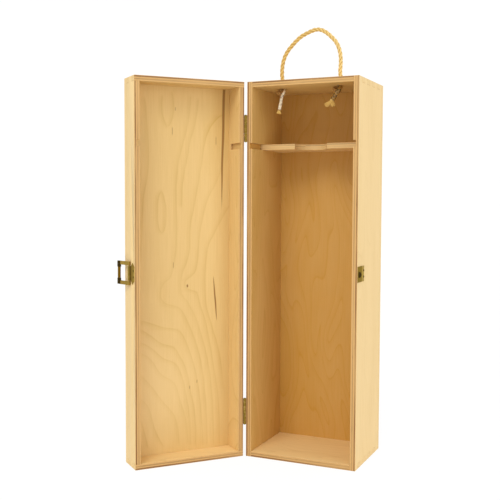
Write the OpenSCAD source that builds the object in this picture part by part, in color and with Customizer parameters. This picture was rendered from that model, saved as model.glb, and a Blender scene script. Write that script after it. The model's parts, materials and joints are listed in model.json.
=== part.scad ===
// Upright plywood box for one large bottle, with a hinged lid, a brass loop latch and a rope handle.
// The origin is on the underside, at the middle of the closed box's footprint. +Z is up, the
// lid closes the front (-Y) and hangs on the left (-X). Lengths are in millimetres.

/* [Box] */
// Width of the box
box_w = 126; // [110:1:160]
// Depth of the closed box, from the lid's panel to the back panel
box_d = 126; // [110:1:160]
// Height of the box
box_h = 414; // [400:1:460]
// Thickness of the plywood
ply_t = 6; // [4:0.5:8]
// Depth of the lid, its panel included
lid_d = 33; // [24:1:45]
// Width of the saw cut between lid and body
saw_gap = 0.3; // [0.2:0.1:1]
// Angle that the lid is swung open
lid_open = 130; // [0:5:180]
// Number of corner fingers along the lid's frame
lid_fingers = 3; // [1:2:5]
// Number of corner fingers along the body's frame
body_fingers = 9; // [3:2:13]

/* [Neck plate] */
// Distance from the top of the box down to the plate
plate_drop = 66.5; // [62:0.5:100]
// Distance from the body's rim back to the plate's front edge
plate_setback = 30; // [0:1:50]
// Radius of the half-round notch for the bottle's neck
notch_r = 18.5; // [12:0.5:24]
// Depth of the groove that holds the plate's end
groove_depth = 3; // [1:0.5:3.5]
// Room above the plate in its groove
groove_play = 0.2; // [0.1:0.1:1]
// Room between the plate's end and the groove's bottom
plate_end_play = 0.1; // [0.05:0.05:0.5]
// Length of lid side left whole between the groove and the lid's panel
groove_stop = 4.5; // [2:0.5:10]

/* [Hinges] */
// Height of a hinge
hinge_h = 29; // [24:1:40]
// Distance from a hinge's middle to the nearer end of the box
hinge_inset = 50.5; // [40:0.5:55]
// Width of a leaf, from the pin's axis
leaf_w = 12; // [9:0.5:16]
// Thickness of a leaf
leaf_t = 0.8; // [0.5:0.1:1]
// Diameter of the barrel
barrel_d = 3.2; // [3:0.1:5]
// Gap between the barrel and the wood
barrel_gap = 0.05; // [0.02:0.01:0.3]
// Diameter of the hinge pin
hinge_pin_d = 1.4; // [1:0.1:1.8]
// Height of the lid leaf's knuckle, in the middle of the barrel
middle_knuckle_h = 9.4; // [6:0.2:14]
// Gap between two knuckles
knuckle_gap = 0.2; // [0.1:0.05:0.5]
// Distance from the pin's axis to a leaf's nails
hinge_nail_reach = 7.5; // [5:0.5:7.5]
// Distance between a leaf's two nails
hinge_nail_span = 18; // [12:1:20]

/* [Latch] */
// Height of the latch's middle above the base
latch_z = 208; // [150:1:290]
// Height of the base plate between its shoulders
latch_base_h = 16; // [14:0.5:22]
// Height of each pointed end of the base plate
latch_tip_h = 3.3; // [1:0.1:5]
// Thickness of the latch's and the strike's sheet
sheet_t = 0.8; // [0.6:0.1:1]
// Distance from the lid's rim to the base plate's edge
latch_inset = 0.5; // [0.2:0.1:1]
// Distance from the lid's rim to the loop's pivot
latch_pivot_back = 13.5; // [12:0.5:18]
// Diameter of the base plate's knuckle
latch_knuckle_d = 3; // [2.8:0.1:4]
// Gap between the knuckle and the wood
latch_knuckle_gap = 0.3; // [0.1:0.05:0.5]
// Distance from the lid's rim to the base plate's nails
latch_nail_back = 2.4; // [2.2:0.1:5]
// Distance between the two nails of the latch, and of the strike
latch_nail_span = 6.6; // [5:0.2:10]
// Width of each arm of the loop
arm_w = 4; // [3:0.1:6]
// Thickness of the loop's arms
arm_t = 1.6; // [1.2:0.1:2.4]
// Diameter of the pegs that the loop turns on
peg_d = 1.4; // [1:0.1:1.6]
// Length of each peg inside the knuckle
peg_grip = 3; // [2:0.2:5]
// Distance from the pivot to the middle of the grip bar
loop_reach = 18.8; // [17:0.2:24]
// Width of the grip bar between its lobes
bar_w = 3.4; // [2:0.1:4]
// Thickness of the grip bar
bar_t = 2; // [1.6:0.1:2.4]
// Width of the grip bar's lobes
lobe_w = 5; // [3:0.1:6]
// Length of each lobe
lobe_h = 6.6; // [5:0.2:8]
// Angle that the loop is swung back from the closed strike
latch_open = 164.5; // [0:0.5:175]

/* [Strike] */
// Height of the strike plate
strike_h = 16.6; // [14:0.2:20]
// Distance from the body's rim to the strike plate
strike_inset = 0.8; // [0.2:0.1:2]
// Length of the strike plate
strike_w = 22; // [12:0.5:26]
// Distance from the plate's front edge to the hook
hook_inset = 0.6; // [0.2:0.1:1]
// Thickness of the hook
hook_t = 1.2; // [0.8:0.1:1.4]
// Width of the hook
hook_w = 6; // [4:0.5:9]
// Height of the hook above the wood
hook_rise = 3.9; // [3.2:0.1:5]
// Room between the strike plate and the loop's arms
loop_side_play = 0.2; // [0.1:0.1:1]
// Room between the knuckle and the loop's arms
knuckle_side_play = 0.9; // [0.2:0.1:1.5]
// Distance from the strike's far edge to its nails
strike_nail_edge = 1.8; // [1.4:0.1:2.2]

/* [Nails] */
// Diameter of a nail
nail_d = 1.2; // [0.8:0.1:1.6]
// Wood left whole under a nail's point
nail_skin = 1.5; // [0.5:0.1:2.5]
// Diameter of a nail's head
nail_head_d = 2.4; // [1.8:0.1:2.8]
// Height of a nail's head
nail_head_h = 0.5; // [0.3:0.1:0.7]
// Clearance all round a pin, a peg or a nail
pin_play = 0.05; // [0.02:0.01:0.1]

/* [Rope handle] */
// Diameter of the rope
rope_d = 4.8; // [3.5:0.1:5.4]
// Room all round the rope in its hole
rope_play = 0.6; // [0.3:0.1:1.5]
// Distance between the two rope holes
rope_span = 67; // [50:1:80]
// Height of the arch's middle line above the box
arch_h = 56; // [40:1:90]
// Gap between the bottom of the arch and the top panel
arch_gap = 0.3; // [0.2:0.05:0.6]
// Diameter of a stopper knot
knot_d = 13; // [10:0.5:14]
// Height of a stopper knot
knot_h = 8; // [6:0.5:8.5]
// Diameter of the tail under its tape
tail_d = 3.6; // [3:0.1:4.2]
// Thickness of the tape round a tail
tape_t = 0.2; // [0.1:0.05:0.4]
// Gap between the tail and its tape
tape_gap = 0.04; // [0.02:0.01:0.1]
// Bare rope between the tail's bend and its tape
tape_start = 1.5; // [1.2:0.1:3]
// Bare rope between the tape and the cut end
tape_end = 0.8; // [0.8:0.1:3]

/* [Hidden] */
$fn = 64;
wood = "BurlyWood";
brass = "DarkKhaki";
fibre = "Tan";
film = "Ivory";
// A cut runs this far past the face it opens
cut = 1;

// Box: places of the main planes
side_x = box_w / 2;
back_y = box_d / 2;
rim_y = lid_d - box_d / 2;
lid_rim_y = rim_y - saw_gap;
body_frame_d = box_d - lid_d - ply_t;
lid_frame_d = lid_d - ply_t;
inner_w = box_w - 2 * ply_t;
panel_under = box_h - ply_t;
plate_z = box_h - plate_drop - ply_t;

// Hinges: the pins' axis stands just clear of the wood, in the middle of the saw cut
axis_off = barrel_d / 2 + barrel_gap;
hinge_x = -side_x - axis_off;
hinge_y = rim_y - saw_gap / 2;
hinge_zs = [box_h - hinge_inset, hinge_inset];
knuckle_room = barrel_d / 2 + barrel_gap + knuckle_gap;
hinge_bore_d = hinge_pin_d + 2 * pin_play;
pin_head_d = (hinge_pin_d + barrel_d) / 2;
pin_head_h = 0.5;

// Nails: how far they reach into the wood, and their holes
nail_reach = ply_t - nail_skin;
nail_hole_d = nail_d + 2 * pin_play;

// Latch and strike
latch_pivot = [side_x + latch_knuckle_d / 2 + latch_knuckle_gap,
               lid_rim_y - latch_pivot_back, latch_z];
latch_base_w = latch_pivot_back - latch_inset - latch_knuckle_d / 2;
peg_bore_d = peg_d + 2 * pin_play;
eye_d = latch_knuckle_d - 0.2;
loop_window_h = strike_h + 2 * loop_side_play;
loop_h = loop_window_h + 2 * arm_w;
latch_knuckle_h = loop_window_h - 2 * knuckle_side_play;
hook_top_r = hook_w * 2 / 3;

// Rope: the arch turns about a line at this height, where both its legs begin
arch_pivot_z = box_h + arch_gap + rope_d / 2;
rope_hole_d = rope_d + 2 * rope_play;
// Sideways offset of each knot from its hole
knot_shift = [-1, -4];
// Middle line of the arch from left to right: shares of half the span and of the arch's height
ARCH = [
    [-1.00, 0.05], [-1.02, 0.14], [-1.02, 0.24], [-1.01, 0.34], [-0.98, 0.43], [-0.92, 0.53],
    [-0.82, 0.63], [-0.69, 0.72], [-0.53, 0.81], [-0.36, 0.89], [-0.18, 0.94], [0.00, 0.98],
    [0.18, 1.00], [0.35, 0.98], [0.52, 0.92], [0.67, 0.84], [0.81, 0.75], [0.91, 0.64],
    [0.97, 0.52], [0.99, 0.41], [0.99, 0.30], [0.98, 0.20], [0.98, 0.13], [1.00, 0.05]
];
arch_sides = 10;
arch_cap_angles = [70, 45, 20];
// A tail is this much thicker where it bends
bend_swell = 1.08;
// Each tail's middle line: out of its knot, its bend and its cut end, from the hole's lower rim
TAILS = [
    [[5.2, -3.5, -2.6], [0.5, -5, -12], [-2, -5, -24]],
    [[1, -4, -2.6], [-4, -5, -9.5], [-8.4, -5, -15.8]]
];
// Frayed ends: how far each bunch of fibres leads on from the cut end
TUFTS = [
    [[-1.6, 0, -3.8]],
    [[-5.4, 0, -4.8], [2.2, 0, -5.2]]
];
// A bunch of fibres is this share of the tail's diameter at its root and at its end
tuft_root = 0.45;
tuft_flare = 1.15;

// ---- Placing ----

// Swings what is drawn for the closed lid open about the hinge pins
module with_lid() {
    translate([hinge_x, hinge_y, 0])
        rotate([0, 0, -lid_open])
            translate([-hinge_x, -hinge_y, 0])
                children();
}

// Puts a child that points along +Z on the outer face of the hinge side
module on_hinge_face(y, z) {
    translate([-side_x, y, z])
        rotate([0, -90, 0])
            children();
}

// Puts a child that points along +Z on the outer face of the latch side
module on_latch_face(y, z) {
    translate([side_x, y, z])
        rotate([0, 90, 0])
            children();
}

// ---- Fasteners ----

// A nail whose head sits on a sheet of the given thickness, its point down in the wood
module nail(sheet) {
    translate([0, 0, sheet])
        cylinder(d1 = nail_head_d, d2 = nail_head_d * 0.6, h = nail_head_h);
    translate([0, 0, -nail_reach])
        cylinder(d = nail_d, h = nail_reach + sheet);
}

// The hole that a nail needs through a sheet and into the wood
module nail_hole() {
    translate([0, 0, -nail_reach])
        cylinder(d = nail_hole_d, h = nail_reach + max(sheet_t, leaf_t) + cut);
}

// Repeats a child at the nails of both hinges, on the side of the pins given by dir
module at_hinge_nails(dir) {
    for (z = hinge_zs, s = [-1, 1])
        on_hinge_face(hinge_y + dir * hinge_nail_reach, z + s * hinge_nail_span / 2)
            children();
}

// Repeats a child at the two nails of the latch's base
module at_latch_nails() {
    for (s = [-1, 1])
        on_latch_face(lid_rim_y - latch_nail_back, latch_z + s * latch_nail_span / 2)
            children();
}

// Repeats a child at the two nails of the strike
module at_strike_nails() {
    for (s = [-1, 1])
        on_latch_face(rim_y + strike_inset + strike_w - strike_nail_edge,
                      latch_z + s * latch_nail_span / 2)
            children();
}

// ---- Plywood ----

// The sockets of one corner joint, w wide and h high, for the other board's fingers. They are
// counted from y0 backwards, and first is 0 or 1
module sockets(y0, depth, count, first, w, h) {
    finger = depth / count;
    for (i = [first : 2 : count - 1]) {
        front = y0 + i * finger - (i == 0 ? cut : 0);
        back = y0 + (i + 1) * finger + (i == count - 1 ? cut : 0);
        translate([-w / 2, front, -h / 2])
            cube([w, back - front, h]);
    }
}

// A side wall from y0 to y0 + depth, with sockets at its top and bottom
module side_wall(x0, y0, depth, count, first) {
    difference() {
        translate([x0, y0, 0])
            cube([ply_t, depth, box_h]);
        for (z = [0, box_h])
            translate([x0 + ply_t / 2, 0, z])
                sockets(y0, depth, count, first, ply_t + 2 * cut, 2 * ply_t);
    }
}

// A top or bottom at height z0, with sockets at both sides
module end_wall(z0, y0, depth, count, first) {
    difference() {
        translate([-side_x, y0, z0])
            cube([box_w, depth, ply_t]);
        for (x = [-side_x, side_x])
            translate([x, 0, z0 + ply_t / 2])
                sockets(y0, depth, count, first, 2 * ply_t, ply_t + 2 * cut);
    }
}

// Keeps what lies in front of the saw cut's lid face
module in_lid_frame() {
    intersection() {
        children();
        translate([-box_w, -box_d, -cut])
            cube([2 * box_w, box_d + lid_rim_y, box_h + 2 * cut]);
    }
}

// The groove for the neck plate in both sides, from y0 to y1
module neck_groove(y0, y1) {
    translate([-inner_w / 2 - groove_depth, y0, plate_z])
        cube([inner_w + 2 * groove_depth, y1 - y0, ply_t + groove_play]);
}

module body_side(x0) {
    difference() {
        side_wall(x0, rim_y, body_frame_d, body_fingers, 1);
        neck_groove(rim_y - cut, back_y);
    }
}

module lid_side(x0) {
    difference() {
        in_lid_frame()
            side_wall(x0, ply_t - box_d / 2, lid_frame_d, lid_fingers, 0);
        neck_groove(ply_t + groove_stop - box_d / 2, rim_y);
    }
}

module body_hinge_side() {
    color(wood)
        difference() {
            body_side(-side_x);
            at_hinge_nails(1) nail_hole();
        }
}

module body_latch_side() {
    color(wood)
        difference() {
            body_side(side_x - ply_t);
            at_strike_nails() nail_hole();
        }
}

module body_top() {
    color(wood)
        difference() {
            end_wall(box_h - ply_t, rim_y, body_frame_d, body_fingers, 0);
            for (s = [-1, 1])
                translate([s * rope_span / 2, 0, box_h - ply_t - cut])
                    cylinder(d = rope_hole_d, h = ply_t + 2 * cut);
        }
}

module body_bottom() {
    color(wood)
        end_wall(0, rim_y, body_frame_d, body_fingers, 0);
}

module back_panel() {
    color(wood)
        translate([-side_x, back_y - ply_t, 0])
            cube([box_w, ply_t, box_h]);
}

module neck_plate() {
    plate_w = inner_w + 2 * (groove_depth - plate_end_play);
    plate_front = rim_y + plate_setback;
    color(wood)
        difference() {
            translate([-plate_w / 2, plate_front, plate_z])
                cube([plate_w, back_y - ply_t - plate_front, ply_t]);
            translate([0, plate_front, plate_z - cut])
                cylinder(r = notch_r, h = ply_t + 2 * cut);
        }
}

module lid_hinge_side() {
    color(wood)
        with_lid()
            difference() {
                lid_side(-side_x);
                at_hinge_nails(-1) nail_hole();
            }
}

module lid_latch_side() {
    color(wood)
        with_lid()
            difference() {
                lid_side(side_x - ply_t);
                at_latch_nails() nail_hole();
            }
}

module lid_end(z0) {
    color(wood)
        with_lid()
            in_lid_frame()
                end_wall(z0, ply_t - box_d / 2, lid_frame_d, lid_fingers, 1);
}

module lid_top() {
    lid_end(box_h - ply_t);
}

module lid_bottom() {
    lid_end(0);
}

module lid_panel() {
    color(wood)
        with_lid()
            translate([-side_x, -box_d / 2, 0])
                cube([box_w, ply_t, box_h]);
}

// ---- Hinges ----

// One leaf, drawn round the pin's axis with the wood's face at x = axis_off. dir is 1 for the
// body's leaf and -1 for the lid's, and knuckles lists the bottom and the top of each knuckle
module hinge_leaf(dir, knuckles) {
    difference() {
        union() {
            translate([axis_off - leaf_t, dir > 0 ? knuckle_room : -leaf_w, -hinge_h / 2])
                cube([leaf_t, leaf_w - knuckle_room, hinge_h]);
            for (k = knuckles) {
                translate([0, 0, k[0]])
                    cylinder(d = barrel_d, h = k[1] - k[0]);
                translate([axis_off - leaf_t, dir > 0 ? 0 : -knuckle_room, k[0]])
                    cube([leaf_t, knuckle_room, k[1] - k[0]]);
            }
        }
        translate([0, 0, -hinge_h / 2 - cut])
            cylinder(d = hinge_bore_d, h = hinge_h + 2 * cut);
        for (s = [-1, 1])
            translate([0, dir * hinge_nail_reach, s * hinge_nail_span / 2])
                rotate([0, 90, 0])
                    cylinder(d = nail_hole_d, h = axis_off + cut);
    }
}

module hinge_body_leaf(z) {
    gap_z = middle_knuckle_h / 2 + knuckle_gap;
    color(brass)
        translate([hinge_x, hinge_y, z])
            hinge_leaf(1, [[-hinge_h / 2, -gap_z], [gap_z, hinge_h / 2]]);
}

module hinge_lid_leaf(z) {
    color(brass)
        with_lid()
            translate([hinge_x, hinge_y, z])
                hinge_leaf(-1, [[-middle_knuckle_h / 2, middle_knuckle_h / 2]]);
}

module hinge_pin(z) {
    color(brass)
        translate([hinge_x, hinge_y, z]) {
            cylinder(d = hinge_pin_d, h = hinge_h, center = true);
            for (s = [0, 1])
                mirror([0, 0, s])
                    translate([0, 0, hinge_h / 2])
                        cylinder(d1 = pin_head_d, d2 = hinge_pin_d, h = pin_head_h);
        }
}

module upper_hinge_body_leaf() {
    hinge_body_leaf(hinge_zs[0]);
}

module upper_hinge_lid_leaf() {
    hinge_lid_leaf(hinge_zs[0]);
}

module upper_hinge_pin() {
    hinge_pin(hinge_zs[0]);
}

module lower_hinge_body_leaf() {
    hinge_body_leaf(hinge_zs[1]);
}

module lower_hinge_lid_leaf() {
    hinge_lid_leaf(hinge_zs[1]);
}

module lower_hinge_pin() {
    hinge_pin(hinge_zs[1]);
}

module hinge_body_nails() {
    color(brass)
        at_hinge_nails(1) nail(leaf_t);
}

module hinge_lid_nails() {
    color(brass)
        with_lid()
            at_hinge_nails(-1) nail(leaf_t);
}

// ---- Latch and strike ----

// Outline of the base plate on the wood: x runs back from the lid's rim, y is up
module latch_base_outline() {
    middle = latch_inset + latch_base_w / 2;
    translate([latch_inset, -latch_base_h / 2])
        square([latch_base_w, latch_base_h]);
    polygon([
        [middle - latch_base_w / 3, -latch_base_h / 2],
        [middle, -latch_base_h / 2 - latch_tip_h],
        [middle + latch_base_w / 3, -latch_base_h / 2],
        [middle + latch_base_w / 3, latch_base_h / 2],
        [middle, latch_base_h / 2 + latch_tip_h],
        [middle - latch_base_w / 3, latch_base_h / 2]
    ]);
}

module latch_base() {
    color(brass)
        with_lid()
            difference() {
                union() {
                    translate([side_x, lid_rim_y, latch_z])
                        rotate([90, 0, 90])
                            mirror([1, 0, 0])
                                linear_extrude(sheet_t)
                                    latch_base_outline();
                    translate([side_x, latch_pivot[1], latch_z - latch_knuckle_h / 2])
                        cube([sheet_t, latch_knuckle_d / 2, latch_knuckle_h]);
                    translate(latch_pivot)
                        cylinder(d = latch_knuckle_d, h = latch_knuckle_h, center = true);
                }
                translate(latch_pivot)
                    cylinder(d = peg_bore_d, h = latch_knuckle_h + 2 * cut, center = true);
                at_latch_nails() nail_hole();
            }
}

// The loop, drawn with its pivot on the z axis and its grip bar out along +Y
module loop_shape() {
    waist_h = loop_h - 2 * lobe_h;
    translate([-bar_t / 2, loop_reach - bar_w / 2, -waist_h / 2])
        cube([bar_t, bar_w, waist_h]);
    for (s = [0, 1])
        mirror([0, 0, s]) {
            translate([-bar_t / 2, loop_reach - lobe_w / 2, waist_h / 2])
                cube([bar_t, lobe_w, lobe_h]);
            translate([-arm_t / 2, 0, loop_window_h / 2])
                cube([arm_t, loop_reach, arm_w]);
            translate([0, 0, loop_window_h / 2])
                cylinder(d = eye_d, h = arm_w);
            translate([0, 0, latch_knuckle_h / 2 - peg_grip])
                cylinder(d = peg_d, h = peg_grip + knuckle_side_play + arm_w / 2);
        }
}

module latch_loop() {
    color(brass)
        with_lid()
            translate(latch_pivot)
                rotate([0, 0, -latch_open])
                    loop_shape();
}

module latch_nails() {
    color(brass)
        with_lid()
            at_latch_nails() nail(sheet_t);
}

// The hook as seen from the front: x is out from the wood and its far end is rounded
module hook_outline() {
    intersection() {
        translate([0, -hook_w / 2])
            square([hook_rise, hook_w]);
        translate([hook_rise - hook_top_r, 0])
            circle(r = hook_top_r);
    }
}

module strike_plate() {
    front = rim_y + strike_inset;
    color(brass)
        difference() {
            union() {
                translate([side_x, front, latch_z - strike_h / 2])
                    cube([sheet_t, strike_w, strike_h]);
                translate([side_x, front + hook_inset + hook_t, latch_z])
                    rotate([90, 0, 0])
                        linear_extrude(hook_t)
                            hook_outline();
            }
            at_strike_nails() nail_hole();
        }
}

module strike_nails() {
    color(brass)
        at_strike_nails() nail(sheet_t);
}

// ---- Rope ----

function unit(v) = v / norm(v);

// Middle line of the arch: its feet stand on the line that it turns about
arch_path = [
    for (i = [0 : len(ARCH) - 1])
        let (foot = i == 0 || i == len(ARCH) - 1)
            [ARCH[i][0] * rope_span / 2, 0, foot ? arch_pivot_z : box_h + ARCH[i][1] * arch_h]
];

function arch_way(i) =
    unit(arch_path[min(i + 1, len(arch_path) - 1)] - arch_path[max(i - 1, 0)]);

// Each ring of the tube is its middle, its way and its radius; the ends are rounded off
arch_rings = concat(
    [for (a = arch_cap_angles)
        [arch_path[0] - [0, 0, rope_d / 2 * sin(a)], [0, 0, 1], rope_d / 2 * cos(a)]],
    [for (i = [0 : len(arch_path) - 1])
        let (foot = i == 0 || i == len(arch_path) - 1)
            [arch_path[i], foot ? [0, 0, i == 0 ? 1 : -1] : arch_way(i), rope_d / 2]],
    [for (i = [len(arch_cap_angles) - 1 : -1 : 0])
        let (a = arch_cap_angles[i])
            [arch_path[len(arch_path) - 1] - [0, 0, rope_d / 2 * sin(a)], [0, 0, -1],
             rope_d / 2 * cos(a)]]
);

// The rings' points: every way lies in the plane y = 0, so y is across the rope everywhere
function ring_points(rings, sides) = [
    for (r = rings, k = [0 : sides - 1])
        let (a = 360 * k / sides, across = [0, 1, 0], up = cross(r[1], across))
            r[0] + r[2] * (cos(a) * across + sin(a) * up)
];

function tube_faces(count, sides) = concat(
    [[for (k = [0 : sides - 1]) k]],
    [[for (k = [sides - 1 : -1 : 0]) (count - 1) * sides + k]],
    [for (i = [0 : count - 2], k = [0 : sides - 1])
        let (a = i * sides + k, b = i * sides + (k + 1) % sides)
            [a, a + sides, b]],
    [for (i = [0 : count - 2], k = [0 : sides - 1])
        let (a = i * sides + k, b = i * sides + (k + 1) % sides)
            [b, a + sides, b + sides]]
);

module rope_handle() {
    color(fibre)
        polyhedron(
            points = ring_points(arch_rings, arch_sides),
            faces = tube_faces(len(arch_rings), arch_sides)
        );
}

// A round rod from a to b, with a diameter at each end
module rod(a, b, d1, d2) {
    way = b - a;
    translate(a)
        rotate([0, acos(way[2] / norm(way)), atan2(way[1], way[0])])
            cylinder(d1 = d1, d2 = d2, h = norm(way));
}

// A stopper knot, as a ball pressed flat above and below, its top at z = 0
module knot_shape() {
    intersection() {
        translate([0, 0, -knot_h / 2])
            sphere(d = knot_d);
        translate([-knot_d, -knot_d, -knot_h])
            cube([2 * knot_d, 2 * knot_d, knot_h]);
    }
}

// Puts a child at the lower rim of the left (0) or the right (1) rope hole
module under_hole(i) {
    translate([(2 * i - 1) * rope_span / 2, 0, panel_under])
        children();
}

// The rope below the arch: in its hole, round its knot and down its tail
module rope_end(i) {
    tail = TAILS[i];
    knot_middle = [knot_shift[i], 0, -knot_h / 2];
    color(fibre)
        under_hole(i) {
            translate([0, 0, -knot_h / 2])
                cylinder(d = rope_d, h = ply_t + knot_h / 2);
            translate([knot_shift[i], 0, 0])
                knot_shape();
            rod(knot_middle, tail[0], tail_d, tail_d);
            rod(tail[0], tail[1], tail_d, tail_d);
            rod(tail[1], tail[2], tail_d, tail_d);
            for (bend = [tail[0], tail[1]])
                translate(bend)
                    sphere(d = tail_d * bend_swell);
            for (tuft = TUFTS[i])
                rod(tail[2], tail[2] + tuft, tuft_root * tail_d, tuft_flare * tail_d);
        }
}

// Tape round the last run of a tail, clear of its bend
module tape_wrap(i) {
    bend = TAILS[i][1];
    cut_end = TAILS[i][2];
    way = unit(cut_end - bend);
    bore_d = tail_d + 2 * tape_gap;
    color(film)
        under_hole(i)
            difference() {
                rod(bend + tape_start * way, cut_end - tape_end * way,
                    bore_d + 2 * tape_t, bore_d + 2 * tape_t);
                rod(bend, cut_end + cut * way, bore_d, bore_d);
            }
}

module rope_end_left() {
    rope_end(0);
}

module rope_end_right() {
    rope_end(1);
}

module tape_wrap_left() {
    tape_wrap(0);
}

module tape_wrap_right() {
    tape_wrap(1);
}

body_hinge_side();
body_latch_side();
body_top();
body_bottom();
back_panel();
neck_plate();
lid_hinge_side();
lid_latch_side();
lid_top();
lid_bottom();
lid_panel();
upper_hinge_body_leaf();
upper_hinge_lid_leaf();
upper_hinge_pin();
lower_hinge_body_leaf();
lower_hinge_lid_leaf();
lower_hinge_pin();
hinge_body_nails();
hinge_lid_nails();
latch_base();
latch_loop();
latch_nails();
strike_plate();
strike_nails();
rope_handle();
rope_end_left();
rope_end_right();
tape_wrap_left();
tape_wrap_right();
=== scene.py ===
"""Dresses the plywood bottle box: veneered boards with ply edges, antiqued brass, a laid rope handle
with knots, taped tails and frayed ends, and the studio that it stands in. Lengths are in metres."""

import json
import math
import random

import bmesh
import bpy
from mathutils import Matrix, Vector, noise


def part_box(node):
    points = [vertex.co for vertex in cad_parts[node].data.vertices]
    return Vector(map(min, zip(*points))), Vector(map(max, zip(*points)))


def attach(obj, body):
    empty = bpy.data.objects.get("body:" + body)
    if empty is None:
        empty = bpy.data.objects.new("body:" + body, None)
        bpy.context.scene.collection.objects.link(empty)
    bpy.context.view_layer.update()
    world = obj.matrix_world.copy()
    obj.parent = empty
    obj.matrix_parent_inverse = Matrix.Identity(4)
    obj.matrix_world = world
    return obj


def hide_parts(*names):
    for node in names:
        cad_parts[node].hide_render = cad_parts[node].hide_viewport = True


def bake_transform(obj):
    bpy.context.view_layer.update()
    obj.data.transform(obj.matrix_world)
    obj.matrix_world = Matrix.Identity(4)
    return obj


bl_info = {
    "name": "Bottle Box Workshop",
    "version": (1, 0, 0),
    "blender": (4, 5, 0),
    "location": "3D View > Sidebar > Bottle Box",
    "description": "Builds the boards, hardware, rope and studio of a plywood bottle box",
    "category": "Object",
}

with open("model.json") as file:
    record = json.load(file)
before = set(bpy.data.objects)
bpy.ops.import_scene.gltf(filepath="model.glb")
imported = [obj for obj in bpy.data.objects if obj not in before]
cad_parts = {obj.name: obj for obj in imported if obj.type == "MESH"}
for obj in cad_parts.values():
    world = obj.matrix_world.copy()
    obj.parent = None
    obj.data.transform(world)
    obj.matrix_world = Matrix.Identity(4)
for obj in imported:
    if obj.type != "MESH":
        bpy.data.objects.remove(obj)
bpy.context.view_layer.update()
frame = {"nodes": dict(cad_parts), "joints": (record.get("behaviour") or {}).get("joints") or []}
MM = 0.001
JOINTS = {joint["name"]: joint for joint in frame["joints"]}
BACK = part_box("back_panel")
# The closed box: its least and greatest x, y and z. It is as deep in front as at the back
CLOSED_BOX = [(BACK[0][0], BACK[1][0]), (-BACK[1][1], BACK[1][1]), (BACK[0][2], BACK[1][2])]
# A face this near to a side of the closed box is on its outside
OUTSIDE = 0.5 * MM
# How far under its top each nail's domed head begins
HEAD_SEAT = 0.5 * MM
# Points of a CAD mesh that lie nearer than this are one point
WELD = 0.002 * MM
# An edge that turns by more than this stays sharp in smooth shading
SHARP_TURN = math.radians(38)
# A face that leans further than this along an axis faces along it
FACING = 0.6
# How much deeper the colour is in a groove, as painted shade in the recess, and where its bottom
# lies in its board, from the inner face, 0, to the outer one, 1
GROOVE_SHADE = 0.10
GROOVE_BOTTOM = (0.2, 0.8)

# Each board: the body it rides on, its thickness axis, its grain axis, how deep the colour is of
# its outer and its inner faces, from 0, pale, to 1, and how much its sawn edges and those on the
# outside, which are sanded, show of their plies. Axes are those of the closed box. The outer number
# is the veneer's tone, and on the hinge sides' edges partly painted shade; the inner number is
# painted shade of the inside of the body and the lid
BOARDS = {
    "body_hinge_side": ("case", 0, 2, 0.12, 0.51, 1.0, 0.05),
    "body_latch_side": ("case", 0, 2, 0.02, 0.50, 1.0, 0.05),
    "body_top": ("case", 2, 0, 0.04, 0.45, 1.0, 0.05),
    "body_bottom": ("case", 2, 0, 0.04, 0.02, 1.0, 0.05),
    "back_panel": ("case", 1, 2, 0.04, 0.60, 1.0, 0.05),
    "neck_plate": ("case", 2, 0, 0.10, 0.10, 0.62, 0.62),
    "lid_hinge_side": ("lid", 0, 2, 0.12, 0.24, 1.0, 0.14),
    "lid_latch_side": ("lid", 0, 2, 0.03, 0.40, 1.0, 0.14),
    "lid_top": ("lid", 2, 0, 0.05, 0.42, 1.0, 0.14),
    "lid_bottom": ("lid", 2, 0, 0.04, 0.04, 1.0, 0.14),
    "lid_panel": ("lid", 1, 2, 0.04, 0.34, 1.0, 0.08),
}
# Each piece of hardware that keeps its CAD shape with eased edges: its body and its easing in mm
HARDWARE = {
    f"{hinge}_hinge_{part}": (body, easing)
    for part, body, easing in (
        ("body_leaf", "case", 0.15), ("lid_leaf", "lid", 0.15), ("pin", "case", 0.08))
    for hinge in ("upper", "lower")
} | {"latch_base": ("lid", 0.15), "latch_loop": ("latch", 0.4), "strike_plate": ("case", 0.15)}

# The rope's middle line in mm: the arch from the left knot to the right one, the middle of each
# knot, round which a formula lays its turns, and each tail from its knot to its cut end
ARCH = [
    (-33.5, 0, 409), (-33.5, 0, 413.5), (-33.6, 0, 418.5), (-34.2, 0, 422), (-34.2, 0, 427.4),
    (-33.8, 0, 433), (-32.8, 0, 438.1), (-30.8, 0, 443.7), (-27.5, 0, 449.3), (-23.1, 0, 454.3),
    (-17.8, 0, 459.4), (-12.1, 0, 463.8), (-6, 0, 466.6), (0, 0, 468.9), (6, 0, 470),
    (11.7, 0, 468.9), (17.4, 0, 465.5), (22.4, 0, 461), (27.1, 0, 456), (30.5, 0, 449.8),
    (32.5, 0, 443.1), (33.2, 0, 437), (33.2, 0, 430.8), (32.8, 0, 425.2), (32.8, 0, 421.3),
    (33.5, 0, 417.5), (33.5, 0, 413.5), (33.5, 0, 409),
]
KNOTS = {"left": (-34.5, 0, 404), "right": (29.5, 0, 404)}
TAILS = {
    "left": [(-29.4, -4.4, 406.6), (-29.4, -6.6, 403.4), (-31.4, -6.8, 399.6), (-33, -5.4, 396),
             (-33.9, -5, 391.5), (-35.5, -5, 384)],
    "right": [(34.6, -4.4, 406.1), (34.4, -6.6, 403.8), (32.2, -6.6, 401.2), (29.5, -5.4, 398.5),
              (27.7, -5, 395.9), (25.1, -5, 392.2)],
}
# Where each bunch of frayed fibres leads from the cut end, in mm
TUFTS = {
    "left": [(-0.7, 0, -3.3)],
    "right": [(-6.8, 0, -5.0), (1.8, 0, -6.4)],
}
# Length of each tail that the tape leaves bare at its cut end, in mm
BARE_END = 0.9
TAPE_THICKNESS = 0.12 * MM
# How thick each taped tail is at its knot and at its cut end, as shares of the open rope
TAIL_THICKNESS = {"left": (0.48, 0.74), "right": (0.90, 0.98)}
# Below this height, in mm, the rope is pulled tight into its knots
PULLED_TIGHT = 408
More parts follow.
